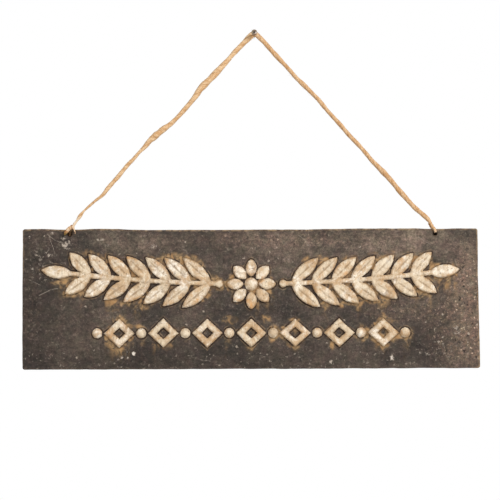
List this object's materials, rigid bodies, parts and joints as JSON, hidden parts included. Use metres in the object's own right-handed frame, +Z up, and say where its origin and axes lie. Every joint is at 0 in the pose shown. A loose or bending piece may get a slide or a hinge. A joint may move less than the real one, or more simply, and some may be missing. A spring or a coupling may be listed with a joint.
{
  "type": "hanging sign",
  "caption": "Pressed sheet-steel sign with a raised laurel and lozenge ornament, hung by jute twine from a nail driven into a wall.",
  "frame": {"origin": "point on the nail's axis at the face of the wall that it is driven into", "axes": "+X to the right along the plate's width, +Y into the wall, +Z up; the painted front faces -Y"},
  "size_m": [0.457, 0.0262, 0.3419],
  "materials": {
    "painted_plate": "worn charcoal paint, the raised forms painted cream and rusting",
    "rusty_nail": "dull, browned by rust",
    "jute_twine": "loosely spun, hairy"
  },
  "bodies": {
    "nail": {"nail": "rusty_nail"},
    "twine": {"hanging_twine": "jute_twine"},
    "plate": {"sign_plate": "painted_plate", "left_loop": "jute_twine", "left_knot": "jute_twine", "left_tails": "jute_twine", "right_loop": "jute_twine", "right_knot": "jute_twine"}
  },
  "joints": [
    {"name": "swing", "type": "hinge", "parent": "nail", "child": "twine", "pos_m": [0, -0.005, 0.00035], "axis": [0, 1, 0], "range_deg": [-30, 30]},
    {"name": "plate_tilt", "type": "hinge", "parent": "twine", "child": "plate", "pos_m": [0, -0.005, -0.1905], "axis": [-1, 0, 0], "range_deg": [-1.5, 90]}
  ]
}
